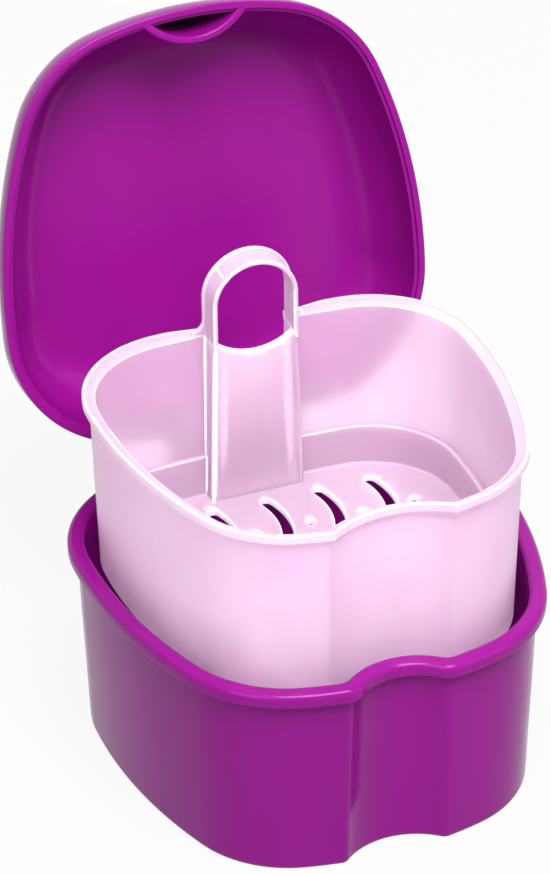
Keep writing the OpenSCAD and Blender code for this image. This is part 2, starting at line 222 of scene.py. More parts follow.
def side_faces(count, around):
    """Four-sided faces between neighbouring rows of a grid whose rows are closed rings."""
    here = np.arange(around)
    after = (here + 1) % around
    row = np.arange(count - 1)[:, None] * around
    quads = np.stack([row + here, row + around + here, row + around + after, row + after], axis=-1)
    return quads.reshape(-1, 4).tolist()


def skin(name, grid):
    """A closed surface through the rows of a grid, each row a closed ring. Each end is closed
    with triangles to a pole, the mean of its ring."""
    count, around = grid.shape[:2]
    points = np.concatenate([grid.reshape(-1, 3), grid[[0, -1]].mean(axis=1)])
    here = np.arange(around)
    after = (here + 1) % around
    last = (count - 1) * around
    start_pole = np.full(around, count * around)
    starts = np.column_stack([start_pole, here, after])
    ends = np.column_stack([start_pole + 1, last + after, last + here])
    return new_piece(name, points, side_faces(count, around) + starts.tolist() + ends.tolist())


def combine(piece, tool, operation):
    """Adds or cuts one closed mesh from another with a Boolean, then removes the tool."""
    change = piece.modifiers.new(operation, "BOOLEAN")
    change.operation = operation
    change.solver = "MANIFOLD"
    change.object = tool
    bpy.context.view_layer.objects.active = piece
    bpy.ops.object.modifier_apply(modifier=change.name)
    bpy.data.objects.remove(tool)
    print(piece.name, operation.lower(), "now", round(volume_of(piece.data)), "cubic mm")
    return piece


SHARP_ANGLE = math.radians(32)


def finish_piece(piece, node, body, material):
    """Smooth shading with sharp creases, the material, and the piece's place in the model."""
    piece.data.shade_smooth()
    piece.data.set_sharp_from_angle(angle=SHARP_ANGLE)
    piece.data.materials.clear()
    piece.data.materials.append(material)
    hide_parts(node)
    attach(piece, body)
    print(piece.name, "rides on", body, "with", len(piece.data.polygons), "faces")


# %% [markdown]
# The cup and lid are polished polypropylene with a strong purple masterbatch. Such a part is
# nearly flat in colour but not quite: the pigment drifts a little along the flow of the melt, and
# the polished steel leaves a skin that is wavy over centimetres and finely textured close up. A
# noise stretched along the flow shifts the colour, and two bumps carry the waviness and texture.


# %% Helpers for node materials
def new_material(name):
    """A node material with its shader and a set of object coordinates."""
    material = bpy.data.materials.new(name)
    material.use_nodes = True
    nodes = material.node_tree.nodes
    return material, material.node_tree, nodes["Principled BSDF"], nodes.new("ShaderNodeTexCoord")


def noise(tree, coordinates, scale, detail, stretch=(1, 1, 1)):
    """Fractal noise on object coordinates, finer along an axis where stretch is larger."""
    mapping = tree.nodes.new("ShaderNodeMapping")
    mapping.inputs["Scale"].default_value = stretch
    texture = tree.nodes.new("ShaderNodeTexNoise")
    texture.inputs["Scale"].default_value = scale
    texture.inputs["Detail"].default_value = detail
    tree.links.new(coordinates.outputs["Object"], mapping.inputs["Vector"])
    tree.links.new(mapping.outputs["Vector"], texture.inputs["Vector"])
    return texture.outputs["Fac"]


def ramp(tree, factor, low, high, low_colour, high_colour):
    """Colour that runs from one to another as the factor goes from low to high."""
    node = tree.nodes.new("ShaderNodeValToRGB")
    node.color_ramp.elements[0].position = low
    node.color_ramp.elements[1].position = high
    node.color_ramp.elements[0].color = (*low_colour, 1)
    node.color_ramp.elements[1].color = (*high_colour, 1)
    tree.links.new(factor, node.inputs["Fac"])
    return node.outputs["Color"]


def spread(tree, factor, low, high):
    """A number that runs from low to high as noise goes from a quarter to three quarters."""
    node = tree.nodes.new("ShaderNodeMapRange")
    node.inputs["From Min"].default_value = 0.25
    node.inputs["From Max"].default_value = 0.75
    node.inputs["To Min"].default_value = low
    node.inputs["To Max"].default_value = high
    tree.links.new(factor, node.inputs["Value"])
    return node.outputs["Result"]


def bump(tree, height, distance, strength, under=None):
    """A bump of the given depth in metres, laid over another bump if there is one."""
    node = tree.nodes.new("ShaderNodeBump")
    node.inputs["Distance"].default_value = distance
    node.inputs["Strength"].default_value = strength
    tree.links.new(height, node.inputs["Height"])
    if under is not None:
        tree.links.new(under, node.inputs["Normal"])
    return node.outputs["Normal"]


print("material helpers are ready")


# %% Glossy purple plastic
def purple_plastic():
    """Polished purple polypropylene: flow-streaked colour, soft waviness and a fine grain."""
    material, tree, shader, coordinates = new_material("purple_polypropylene")
    flow = noise(tree, coordinates, 30, 3, (1, 1, 0.25))
    colour = ramp(tree, flow, 0.3, 0.7, (0.190, 0.002, 0.165), (0.220, 0.004, 0.190))
    tree.links.new(colour, shader.inputs["Base Color"])
    wave = bump(tree, noise(tree, coordinates, 55, 1), 0.00006, 0.5)
    grain = bump(tree, noise(tree, coordinates, 2600, 2), 0.000004, 0.5, wave)
    tree.links.new(grain, shader.inputs["Normal"])
    smears = noise(tree, coordinates, 90, 4)
    tree.links.new(spread(tree, smears, 0.14, 0.24), shader.inputs["Roughness"])
    shader.inputs["Specular IOR Level"].default_value = 0.13
    print(material.name, "has", len(tree.nodes), "nodes")
    return material


purple = purple_plastic()

# %% [markdown]
# The basket is the same plastic with no pigment, and the mould that made it was blasted, so it is
# milky and frosted. Light goes through and is scattered on the way. A rough transmission carries
# what lies behind it as a soft tint, and a share of diffuse white gives it its milky body.


# %% Frosted natural plastic
def mixed(tree, factor, low, high):
    """A colour mixed from another by a factor, each given as an output or as plain numbers."""
    node = tree.nodes.new("ShaderNodeMix")
    node.data_type = "RGBA"
    tree.links.new(factor, node.inputs["Factor"])
    for value, socket in ((low, node.inputs[6]), (high, node.inputs[7])):
        if isinstance(value, tuple):
            socket.default_value = (*value, 1)
        else:
            tree.links.new(value, socket)
    return node.outputs[2]


def whiter_edge_and_highlight(tree, low, high):
    """How far an edge is rounded outwards, from the mesh's own pointiness, as 0 to 1. It drives a
    painted highlight on rounded edges, together with the whiter look that edges of frosted plastic
    have.
    """
    geometry = tree.nodes.new("ShaderNodeNewGeometry")
    node = tree.nodes.new("ShaderNodeMapRange")
    node.inputs["From Min"].default_value = low
    node.inputs["From Max"].default_value = high
    tree.links.new(geometry.outputs["Pointiness"], node.inputs["Value"])
    return node.outputs["Result"]


def frosted_plastic():
    """Frosted natural polypropylene: mostly rough transmission under a milky tint, and whiter and
    less clear at its edges, partly the plastic's own whiter edges and partly a painted highlight."""
    material, tree, shader, coordinates = new_material("frosted_polypropylene")
    cloud = noise(tree, coordinates, 45, 3)
    milk = ramp(tree, cloud, 0.3, 0.7, (0.97, 0.73, 0.92), (1.0, 0.83, 0.96))
    # Painted highlight: rounded edges are mixed towards white and made less clear, partly standing
    # for the frosted plastic's own whiter edges.
    edge = whiter_edge_and_highlight(tree, 0.505, 0.56)
    tree.links.new(mixed(tree, edge, milk, (1.0, 1.0, 1.0)), shader.inputs["Base Color"])
    through = tree.nodes.new("ShaderNodeMapRange")
    through.inputs["To Min"].default_value = 0.7
    through.inputs["To Max"].default_value = 0.1
    tree.links.new(edge, through.inputs["Value"])
    tree.links.new(through.outputs["Result"], shader.inputs["Transmission Weight"])
    shader.inputs["IOR"].default_value = 1.35
    blast = noise(tree, coordinates, 1800, 3)
    tree.links.new(spread(tree, blast, 0.36, 0.46), shader.inputs["Roughness"])
    tree.links.new(bump(tree, blast, 0.00001, 0.6), shader.inputs["Normal"])
    print(material.name, "has", len(tree.nodes), "nodes")
    return material


frosted = frosted_plastic()

# %% [markdown]
# The cup is a thin drafted wall under a thick rounded lip. It could be a box that is bevelled and
# hollowed, but its walls follow the outline at every height, so a profile of offsets and heights
# carried round the outline gives the true form, its notch and its inside in one closed skin.

# %% Cup sizes, in millimetres
CUP_H, CUP_WALL, CUP_FLOOR, CUP_LEAN = 45.0, 1.6, 2.0, 1.4
LIP_OUT, LIP_H, LIP_R, LIP_IN_R, LIP_UNDER_R = 1.9, 3.0, 1.3, 0.9, 0.4
FOOT_R, CUP_INSIDE_R = 1.2, 2.0
lip_w = LIP_OUT + CUP_WALL
cup_foot = -LIP_OUT - CUP_LEAN
print("lip is", lip_w, "mm wide over a wall of", CUP_WALL)


# %% Cup skin
def cup_profile():
    """Up the drafted outside, round the lip and down the inside to the floor."""
    foot = rounding(cup_foot - FOOT_R, FOOT_R, FOOT_R, -90, 0)
    under = rounding(-LIP_UNDER_R, CUP_H - LIP_H + LIP_UNDER_R, LIP_UNDER_R, -90, 0, 5)
    corner = [[-LIP_OUT, CUP_H - LIP_H]]
    outer = rounding(-LIP_R, CUP_H - LIP_R, LIP_R, 0, 90, 9)
    inner = rounding(LIP_IN_R - lip_w, CUP_H - LIP_IN_R, LIP_IN_R, 90, 180, 8)
    inside_r = rounding(
        cup_foot - CUP_WALL - CUP_INSIDE_R, CUP_FLOOR + CUP_INSIDE_R, CUP_INSIDE_R, 0, -90, 9
    )
    under_foot = [[foot[0, 0] - 3, 0], [foot[0, 0] - 0.3, 0]]
    floor = [[inside_r[-1, 0] - 0.3, CUP_FLOOR], [inside_r[-1, 0] - 3, CUP_FLOOR]]
    outside = straight(foot[-1], corner[0], 14)
    inside = straight(inner[-1], inside_r[0], 16)
    lip = straight(under[-1], outer[0], 3)
    return np.concatenate(
        [under_foot, foot, outside, corner, under, lip, outer, inner, inside, inside_r, floor]
    )


WALL_SOFTER, LIP_SOFTER = 1.2, 3.0
cup_rows = cup_profile()
lip_share = smooth_step(cup_rows[:, 1], CUP_H - LIP_H - 1.5, CUP_H - LIP_H + 0.3)
softer = WALL_SOFTER + (LIP_SOFTER - WALL_SOFTER) * lip_share
cup = skin("cup_shell", rings(cup_rows, NOTCH_R, softer))

# %% [markdown]
# Small flat forms, such as the hinge ears and the drain slots, are outlines carried straight along
# an axis. A cube with a bevel could stand in for some of them, but an outline with soft corners
# gives the moulded look at once, and insetting its first and last rings rounds the edges too.


# %% Soft outlines, carried along an axis
def soft_corners(corners, radius, count=6):
    """A closed outline whose corners are cut back by a radius and bridged by a curve: (1 - t)
    squared of where it starts, 2t(1 - t) of the corner and t squared of where it ends."""
    corners = np.asarray(corners, dtype=float)
    last, after = (np.roll(corners, turn, axis=0) - corners for turn in (1, -1))
    last_length, after_length = (np.linalg.norm(line, axis=1) for line in (last, after))
    cut = np.minimum(radius, 0.45 * np.minimum(last_length, after_length))
    start = corners + last * (cut / last_length)[:, None]
    end = corners + after * (cut / after_length)[:, None]
    t = np.linspace(0, 1, count)[None, :, None]
    middle = 2 * t * (1 - t) * corners[:, None]
    return ((1 - t) ** 2 * start[:, None] + middle + t**2 * end[:, None]).reshape(-1, 2)


def inset(flat, distance):
    """Each point moved inwards, at right angles to the line between its two neighbours. The sign
    of the enclosed area, half the sum of cross products, says which side is in."""
    line = np.roll(flat, -1, axis=0) - np.roll(flat, 1, axis=0)
    inward = np.column_stack([-line[:, 1], line[:, 0]])
    inward /= np.maximum(np.linalg.norm(line, axis=1, keepdims=True), 1e-9)
    ahead = np.roll(flat, -1, axis=0)
    area = (flat[:, 0] * ahead[:, 1] - flat[:, 1] * ahead[:, 0]).sum()
    return flat + inward * distance * np.sign(area)


def carried(name, flat, stops, axis=2):
    """A closed outline carried along one axis: each stop gives a place and how far the outline is
    inset there. The two ends are flat."""
    grid = np.stack([np.insert(inset(flat, back), axis, place, axis=1) for place, back in stops])
    count, around = grid.shape[:2]
    start = list(range(around))
    end = [(count - 1) * around + i for i in reversed(start)]
    return new_piece(name, grid.reshape(-1, 3), side_faces(count, around) + [start, end])


def rounded_stops(low, high, radius, count=4):
    """Stops from low to high whose two edges are quarter circles of a radius."""
    angle = np.linspace(math.pi / 2, 0, count)
    rise, back = radius * (1 - np.sin(angle)), radius * (1 - np.cos(angle))
    return [*zip(low + rise, back), *zip((high - rise)[::-1], back[::-1])]


def turned(name, profile):
    """A profile of places along X and radii, turned about the hinge axis as on a lathe: y and z
    are the axis plus the radius times the cosine and sine of the angle."""
    profile = np.asarray(profile, dtype=float)
    angle = np.arange(64) * math.tau / 64
    y = hinge_y + profile[:, 1:] * np.cos(angle)
    z = hinge_z + profile[:, 1:] * np.sin(angle)
    return skin(name, np.stack([np.broadcast_to(profile[:, :1], y.shape), y, z], axis=-1))


print("a softened square has", len(soft_corners([[0, 0], [1, 0], [1, 1], [0, 1]], 0.2)), "points")

# %% [markdown]
# Two ears stand behind the cup's lip and hold the lid's pins. Each has a round head with a bore, a
# square shoulder behind it that the open lid leans on, and a gusset down the wall. The bores get
# a small lead-in, which is what lets the pins snap in.

# %% Hinge ears
BARREL_R, PIN_R, PIN_CLEAR, BARREL_LEN = 2.6, 1.3, 0.06, 20.0
EAR_W, EAR_GAP, SHOULDER_Y, GUSSET_H, STOP_GAP = 4.0, 0.3, 3.6, 13.0, 0.1
LID_GAP, LID_OUT, EDGE_SOFT = 0.3, 0.35, 0.35
HEAD_Z = -LID_GAP - 0.6
shoulder_z = HINGE_BACK - LID_OUT - STOP_GAP + SHOULDER_Y * math.cos(open_angle)
shoulder_z /= math.sin(open_angle)
ear_in = BARREL_LEN / 2 + EAR_GAP


def ear_outline():
    """In Y and Z: an arc round the head, then a softened outline down the wall and back up."""
    start = math.degrees(math.asin(shoulder_z / BARREL_R))
    end = 180 + math.degrees(math.asin(-HEAD_Z / BARREL_R))
    wall_y = -HINGE_BACK - LIP_OUT - 0.75 * CUP_WALL
    corners = [
        [-HINGE_BACK - 0.5, HEAD_Z],
        [wall_y, -LIP_H - 2],
        [wall_y, -GUSSET_H],
        [SHOULDER_Y, HEAD_Z],
        [SHOULDER_Y, shoulder_z],
    ]
    head = rounding(0, 0, BARREL_R, start, end, 30)
    return np.concatenate([head, soft_corners(corners, 0.8)]) + [hinge_y, hinge_z]


for side in (-1, 1):
    edges = sorted((side * ear_in, side * (ear_in + EAR_W)))
    combine(cup, carried("ear", ear_outline(), rounded_stops(*edges, EDGE_SOFT), axis=0), "UNION")
    bore_r, lead = PIN_R + PIN_CLEAR, 0.3
    bore = [[edges[0] - 1, bore_r + lead], [edges[0], bore_r + lead], [edges[0] + lead, bore_r]]
    bore += [[edges[1] - lead, bore_r], [edges[1], bore_r + lead], [edges[1] + 1, bore_r + lead]]
    combine(cup, turned("bore", bore), "DIFFERENCE")

# %% [markdown]
# The lid is a shallow dome on the plain outline, without the notch, so that a thumb in the notch
# finds its edge. Its rounding is a superellipse: full at the back, where the finger loop swings
# past, and slanting to a flat top at the front and sides. Two profiles with the same count of
# points are worked out shut and blended by how far back each point of the outline lies.

# %% Lid sizes, in millimetres
LID_H, LID_WALL = 19.5, 1.8
DOME_W, BACK_FORM, FRONT_FORM = 13.2, (4.0, 2.0, 2.4), (1.6, 1.2, 1.75)
EDGE_W, EDGE_STEP, STEP_W, LID_EDGE_R = 1.5, 0.8, 0.7, 0.4
MIDDLE_IN, SLANT_TO, FULL_FROM = 18.0, 12.0, 38.0
lid_z = CUP_H + LID_GAP
lid_in = LID_OUT - EDGE_W - STEP_W
inner_dome_w = DOME_W - (LID_OUT - lid_in) + 0.6
print("lid is", LID_H, "mm high and", LID_WALL, "mm thick")


# %% Lid skin
def dome(offset, height, width, top, power, start, end, count=26):
    """Rounding from a band to a flat top: offset falls by width times (1 - cos to the power 2/n)
    and height grows to the top by sin to the power 2/n, from one angle in degrees to another."""
    angle = np.radians(np.linspace(start, end, count))
    out = np.abs(np.cos(angle)) ** (2 / power)
    up = np.abs(np.sin(angle)) ** (2 / power)
    return np.column_stack([offset - width * (1 - out), height + (top - height) * up])


def lid_profile(form):
    """From the middle of the ceiling out to the stepped edge, and back over the outside. The form
    gives the heights of the outer and inner bands and the power of the rounding."""
    outer_band, inner_band, power = form
    ceiling = dome(lid_in, inner_band, inner_dome_w, LID_H - LID_WALL, power, 90, 0)
    top = dome(LID_OUT, outer_band, DOME_W, LID_H, power, 0, 90)
    step = [[lid_in, EDGE_STEP], [lid_in + STEP_W, EDGE_STEP - 0.1]]
    inner_edge = rounding(lid_in + STEP_W + 0.2, 0.2, 0.2, 180, 270, 4)
    outer_edge = rounding(LID_OUT - LID_EDGE_R, LID_EDGE_R, LID_EDGE_R, -90, 0, 5)
    middle = [[-MIDDLE_IN, LID_H - LID_WALL]]
    over = [[-MIDDLE_IN, LID_H]]
    return np.concatenate([middle, ceiling, step, inner_edge, outer_edge, top, over])


far_back = smooth_step(outline(0.0)[0, :, 1:], SLANT_TO, FULL_FROM)
front_rings, back_rings = (rings(lid_profile(form)) for form in (FRONT_FORM, BACK_FORM))
lid_grid = front_rings * (1 - far_back) + back_rings * far_back
lid = skin("lid_shell", lid_grid + [0, 0, lid_z])

# %% [markdown]
# Inside the lid a crescent rib stands behind the front edge. It follows the notched lip, so the
# shut lid has no open hole over the thumb notch. Its free edge is round, and it runs up into the
# dome's wall, whose height is worked out from the same superellipse at every point of the rib.

# %% Crescent rib
RIB_T, RIB_GAP, RIB_EDGE_R = 1.7, 0.7, 0.6


def dome_height(inward, height, width, top, power):
    """Height of a rounding at a distance in from its edge: the band's height plus its rise times
    (1 - (1 - distance / width) to the power n) to the power 1/n."""
    share = np.clip(1 - inward / width, 0, 1) ** power
    return height + (top - height) * (1 - share) ** (1 / power)


def dome_middle(flat):
    """Height halfway between the dome's outside and inside, above points near the front."""
    inward = FRONT_R + LID_OUT - np.linalg.norm(flat - front_c, axis=-1)
    outer_band, inner_band, power = FRONT_FORM
    outer = dome_height(inward, outer_band, DOME_W, LID_H, power)
    in_edge = inward - LID_OUT + lid_in
    inner = dome_height(in_edge, inner_band, inner_dome_w, LID_H - LID_WALL, power)
    return (outer + np.maximum(inner, EDGE_STEP)) / 2


def rib_grid():
    """Rings along the arc of the rib. Each ring goes across the rib's rounded lower edge at fixed
    heights, and back across its top inside the dome."""
    centre = np.array([0.0, NOTCH_DEPTH - NOTCH_R - case_d / 2])
    middle_r = NOTCH_R + RIB_GAP + RIB_T / 2
    end = crossing(front_c, FRONT_R + LID_OUT - 0.7 * EDGE_W, centre, middle_r)
    half = math.pi / 2 - bearing(centre, end)[0]
    angle = math.pi / 2 + np.linspace(half, -half, 61)[:, None]
    left = rounding(RIB_EDGE_R - RIB_T / 2, RIB_EDGE_R, RIB_EDGE_R, 180, 270, 6)
    right = rounding(RIB_T / 2 - RIB_EDGE_R, RIB_EDGE_R, RIB_EDGE_R, 270, 360, 6)
    low = np.concatenate([left, right])
    across = np.concatenate([low[:, 0], np.linspace(RIB_T / 2, -RIB_T / 2, 4)])
    x = centre[0] + (middle_r + across) * np.cos(angle)
    y = centre[1] + (middle_r + across) * np.sin(angle)
    z = dome_middle(np.stack([x, y], axis=-1))
    z[:, : len(low)] = low[:, 1]
    return np.stack([x, y, z], axis=-1)


combine(lid, skin("notch_rib", rib_grid() + [0, 0, lid_z]), "UNION")

# %% [markdown]
# The barrel lies between the cup's ears with a pin at each end, moulded in one with the lid, and
# a web joins it to the lid's band. The pins turn in the ears with 0.06 mm of clearance. A turned
# profile suits the barrel, and a carried outline suits the web.

# %% Barrel, pins and web, then the lid is turned open
end_x, pin_x = BARREL_LEN / 2, BARREL_LEN / 2 + EAR_GAP + EAR_W
half_barrel = [[0, BARREL_R], [end_x - 0.3, BARREL_R], [end_x, BARREL_R - 0.3], [end_x, PIN_R]]
half_barrel = np.array(half_barrel + [[pin_x - 0.4, PIN_R], [pin_x, PIN_R - 0.4]])
barrel = np.concatenate([half_barrel[::-1] * [-1, 1], half_barrel[1:]])
combine(lid, turned("barrel", barrel), "UNION")
band_y = -HINGE_BACK + LID_OUT
web = [[band_y - EDGE_W / 2, LID_GAP], [0, LID_GAP], [0, BARREL_R], [band_y + 1.2, BARREL_R]]
web += [[band_y, BARREL_R + 1], [band_y - EDGE_W / 2, BARREL_R + 1]]
web = soft_corners(web, 0.3) + [hinge_y, hinge_z]
combine(lid, carried("web", web, rounded_stops(0.3 - end_x, end_x - 0.3, 0.3), axis=0), "UNION")
hinge = Matrix.Translation((0, hinge_y * MM, hinge_z * MM))
lid.data.transform(hinge @ Matrix.Rotation(-open_angle, 4, "X") @ hinge.inverted())
print("lid stands", round(max(point.co.z for point in lid.data.vertices) / MM, 1), "mm high")

# %% [markdown]
# The basket's shell is another carried profile. Its wall flares into the rim in a hollow curve.
# The rim has a round bead outside and falls away inwards, and low down inside a narrow ledge runs
# round above a thicker foot. Near the finger loop the bead comes forward to meet the loop's own.

# %% Basket sizes, in millimetres above its foot
RIM_BELOW, SEAT_GAP, BASKET_WALL, BASKET_FLOOR, FLOOR_LIFT = 2.5, 0.3, 1.3, 1.2, 0.2
BASKET_GAP, RIM_OUT, RIM_H, RIM_FALL, BASKET_LEAN = 0.7, 1.45, 2.0, 1.1, 0.95
FLARE_H, RIM_BEAD_W, RIM_BEAD_R, RIM_STEP = 2.5, 0.9, 0.38, 0.45
LEDGE_H, LEDGE_W, NOTCH_FLARE, FLOOR_RING = 10.6, 0.8, 5.0, 4.0
LOOP_W, LOOP_RISE, LOOP_BAND, LOOP_D, COLUMN_IN = 18.5, 16.6, 1.0, 5.9, 4.9
basket_h = CUP_H - RIM_BELOW - CUP_FLOOR - SEAT_GAP
basket_rim = -lip_w - BASKET_GAP
basket_top = basket_rim - RIM_OUT
basket_foot = basket_top - BASKET_LEAN
basket_in = basket_top - BASKET_WALL
ledge_out = basket_in - BASKET_LEAN * (1 - LEDGE_H / basket_h)
ledge_in = ledge_out - LEDGE_W
flare_z = basket_h - RIM_H - FLARE_H
floor_z = FLOOR_LIFT + BASKET_FLOOR
loop_front = case_d / 2 + basket_in - COLUMN_IN
loop_back = loop_front + LOOP_D
print("basket is", round(basket_h, 2), "mm high, its loop from", round(loop_front, 2), "back")


# %% Basket profile
def basket_profile():
    """Under the floor to the foot, up the outside, round the rim and down inside to the floor."""
    under_floor = [[ledge_in - FLOOR_RING, FLOOR_LIFT], [ledge_in - 0.6, FLOOR_LIFT], [ledge_in, 0]]
    foot = rounding(basket_foot - 0.6, 0.6, 0.6, -90, 0)
    wall = straight(foot[-1], [basket_top, flare_z], 16)
    turn = np.radians(np.linspace(0, 80, 12))
    flare = [basket_top + RIM_OUT * (1 - np.cos(turn)), flare_z + FLARE_H * np.sin(turn)]
    face = rounding(basket_rim - 0.25, basket_h - RIM_H + 0.25, 0.25, -60, 0, 4)
    bead_top = basket_h - RIM_BEAD_R
    bead_out = rounding(basket_rim - RIM_BEAD_R, bead_top, RIM_BEAD_R, 0, 90, 6)
    bead_in = rounding(basket_rim - RIM_BEAD_W + RIM_BEAD_R, bead_top, RIM_BEAD_R, 90, 180, 6)
    step = [[basket_rim - RIM_BEAD_W - 0.12, basket_h - RIM_STEP]]
    slope = straight(step[0], [basket_in + 0.4, basket_h - RIM_FALL], 4)
    inner = rounding(basket_in + 0.4, basket_h - RIM_FALL - 0.4, 0.4, 75, 180, 7)
    inside = straight(inner[-1], [ledge_out, LEDGE_H + 0.3], 16)
    hollow = rounding(ledge_out - 0.3, LEDGE_H + 0.3, 0.3, 0, -80, 5)
    ledge = rounding(ledge_in + 0.3, LEDGE_H - 0.3, 0.3, 90, 180, 6)
    band = straight(ledge[-1], [ledge_in, floor_z + 0.5], 6)
    corner = rounding(ledge_in - 0.5, floor_z + 0.5, 0.5, 0, -90)
    floor = [[ledge_in - 0.8, floor_z], [ledge_in - FLOOR_RING, floor_z]]
    outside = [under_floor, foot, wall, np.transpose(flare), face, bead_out]
    within = [bead_in, step, slope, inner, inside, hollow, ledge, band, corner, floor]
    return np.concatenate(outside + within)


RIM_FORWARD, RIM_FADE = 1.3, 9.0


def narrow_rim(grid, offsets):
    """Moves the rim's outer part forward near the loop: the farther out a row lies, the more."""
    near = 1 - smooth_step(np.abs(grid[..., 0]), LOOP_W / 2, LOOP_W / 2 + RIM_FADE)
    rise = smooth_step(grid[..., 2], flare_z, basket_h - RIM_H)
    out = np.clip((offsets[:, None] - basket_in) / (basket_rim - basket_in), 0, 1)
    moved = grid.copy()
    moved[..., 1] -= np.where(grid[..., 1] > 0, RIM_FORWARD * near * rise * out, 0)
    return moved


basket_rows = basket_profile()
basket_grid = narrow_rim(rings(basket_rows, NOTCH_R + NOTCH_FLARE), basket_rows[:, 0])
basket = skin("basket_shell", with_caps(basket_grid) + [0, 0, basket_z])

# %% [markdown]
# The column under the finger loop is a channel, open at the back and at the top, that stands in
# from the back wall down to the floor. It is wider at its foot, because the core that shapes the
# inside is drawn upwards. Its front edges are round and small hollow fillets join it to the wall.

# %% The column and the channel behind it
COLUMN_FLARE, COLUMN_R, FILLET_R, SIDE_WALL = 1.1, 1.1, 0.5, 1.15


def wall_y(height):
    """Where the inside of the back wall lies: above the ledge on the leaning wall, below it on
    the foot, less the small drop of the crowned back at the column's side."""
    lean = basket_in - BASKET_LEAN * (1 - height / basket_h)
    return case_d / 2 + np.where(height > LEDGE_H, lean, ledge_in) - LOOP_W**2 / 8 / BACK_R


def upright(name, height, half, front, corner_r, fillet_r, depth):
    """Rings seen from above: the front, a round corner, a side, a hollow fillet at the wall and a
    back set some depth behind it, with the mirror image of all that. Half widths vary."""
    across = (np.arange(6) + 0.5) / 6
    turn = rounding(-corner_r, corner_r, corner_r, -90, 0, 8)
    fillet = rounding(fillet_r, -fillet_r, fillet_r, 180, 90, 6)
    height, half = np.asarray(height)[:, None], np.asarray(half)[:, None]
    front_x, front_y = half + turn[:, 0], np.broadcast_to(front + turn[:, 1], (len(half), 8))
    back_x, back_y = half + fillet[:, 0], wall_y(height) + fillet[:, 1]
    face_x = (half - corner_r) * across
    face_y = np.full(face_x.shape, front)
    x = np.concatenate([face_x, front_x, back_x, half + fillet_r], axis=1)
    y = np.concatenate([face_y, front_y, back_y, wall_y(height) + depth], axis=1)
    flat = np.stack([x, y, np.broadcast_to(height, x.shape)], axis=-1)
    ring = np.concatenate([flat, flat[:, ::-1] * [-1, 1, 1]], axis=1)
    return skin(name, ring + [0, 0, basket_z])


column_top = basket_h - RIM_FALL - 0.3
below_ledge = np.linspace(floor_z - 0.5, LEDGE_H - 0.01, 7)
above_ledge = np.linspace(LEDGE_H + 0.01, column_top, 19)
column_z = [*below_ledge, *above_ledge]
column_half = LOOP_W / 2 + COLUMN_FLARE * (1 - np.array(column_z) / basket_h)
column = upright("column", column_z, column_half, loop_front, COLUMN_R, FILLET_R, 0.9)
combine(basket, column, "UNION")

# %% [markdown]
# The finger loop is a thin strip with a bead along its back edge, bent over in a half circle. It
# is one section carried along one path, which is how a designer would draw it, and it keeps the
# bead and the rounded edges even all the way round.

# %% Finger loop
BEAD_OUT, BEAD_T, BEAD_R, STRIP_R = 0.5, 1.1, 0.32, 0.42


def loop_section():
    """Across the strip, outwards, and back from its front edge: rounded edges with a bead on the
    back of its outer side."""
    half, bead = LOOP_BAND / 2, LOOP_D - BEAD_T
    corners = [
        rounding(-half + STRIP_R, STRIP_R, STRIP_R, 180, 270, 6),
        rounding(half - STRIP_R, STRIP_R, STRIP_R, 270, 360, 6),
        [[half, bead - 0.1], [half + 0.05, bead]],
        rounding(half + BEAD_OUT - BEAD_R, bead + BEAD_R, BEAD_R, 270, 360, 5),
        rounding(half + BEAD_OUT - BEAD_R, LOOP_D - BEAD_R, BEAD_R, 0, 90, 5),
        rounding(-half + BEAD_R, LOOP_D - BEAD_R, BEAD_R, 90, 180, 5),
    ]
    return np.concatenate(corners)


def loop_grid():
    """Each point of the path, plus the section's first measure along the path's outward normal
    and its second along Y. The path runs up one leg, over a half circle and down the other."""
    bend_r = (LOOP_W - LOOP_BAND) / 2
    bend_z = basket_h + LOOP_RISE - LOOP_W / 2
    leg_z = np.linspace(basket_h - RIM_H - RIM_FALL, bend_z, 14)[:-1]
    angle = np.linspace(math.pi, 0, 61)
    round_bend = np.column_stack([np.cos(angle), np.sin(angle)])
    left = np.column_stack([np.full(13, -bend_r), leg_z])
    path = np.concatenate([left, [0, bend_z] + bend_r * round_bend, left[::-1] * [-1, 1]])
    sideways = np.tile([1.0, 0.0], (13, 1))
    normal = np.concatenate([-sideways, round_bend, sideways])
    section = loop_section()
    flat = path[:, None] + normal[:, None] * section[None, :, :1]
    depth = np.broadcast_to(loop_front + section[:, 1], flat.shape[:2])
    return np.stack([flat[..., 0], depth, flat[..., 1]], axis=-1)


combine(basket, skin("finger_loop", loop_grid() + [0, 0, basket_z]), "UNION")

# %% Hollow corners where the loop's bead runs into the rim
FEET_R = 2.4


def foot_outline(side):
    """In X and Z: a corner whose free side is a quarter circle tangent to the loop and the rim."""
    low = basket_h - 0.1
    hollow = rounding(LOOP_W / 2 + BEAD_OUT + FEET_R, low + FEET_R, FEET_R, 270, 180, 13)
    inside = [[LOOP_W / 2 - 0.5, low + FEET_R], [LOOP_W / 2 - 0.5, low - 1]]
    below = [[hollow[0, 0], low - 1]]
    return np.concatenate([hollow, inside, below]) * [side, 1] + [0, basket_z]


foot_stops = rounded_stops(loop_back - BEAD_T, loop_back, 0.3)
for side in (-1, 1):
    combine(basket, carried("loop_foot", foot_outline(side), foot_stops, axis=1), "UNION")

# %% [markdown]
# The channel behind the column and the finger opening in its face are holes, so each is drawn as a
# closed tool and cut with a Boolean. The wall could be modelled round the holes instead, but a
# cut follows the leaning wall by itself, and insetting the tool's first rings softens the edge.

# %% Channel and finger opening
OPENING_DROP, OPENING_SAG, OPENING_EDGE = 1.2, 3.1, 0.45
channel_z = [floor_z, LEDGE_H, basket_h, basket_h + 2]
channel_half = column_half[0] - SIDE_WALL - COLUMN_FLARE * np.clip(channel_z, 0, basket_h) / basket_h
channel = upright(
    "channel", channel_z, channel_half, loop_front + BASKET_WALL, COLUMN_R - 0.5, 0.1, 9.0
)
combine(basket, channel, "DIFFERENCE")


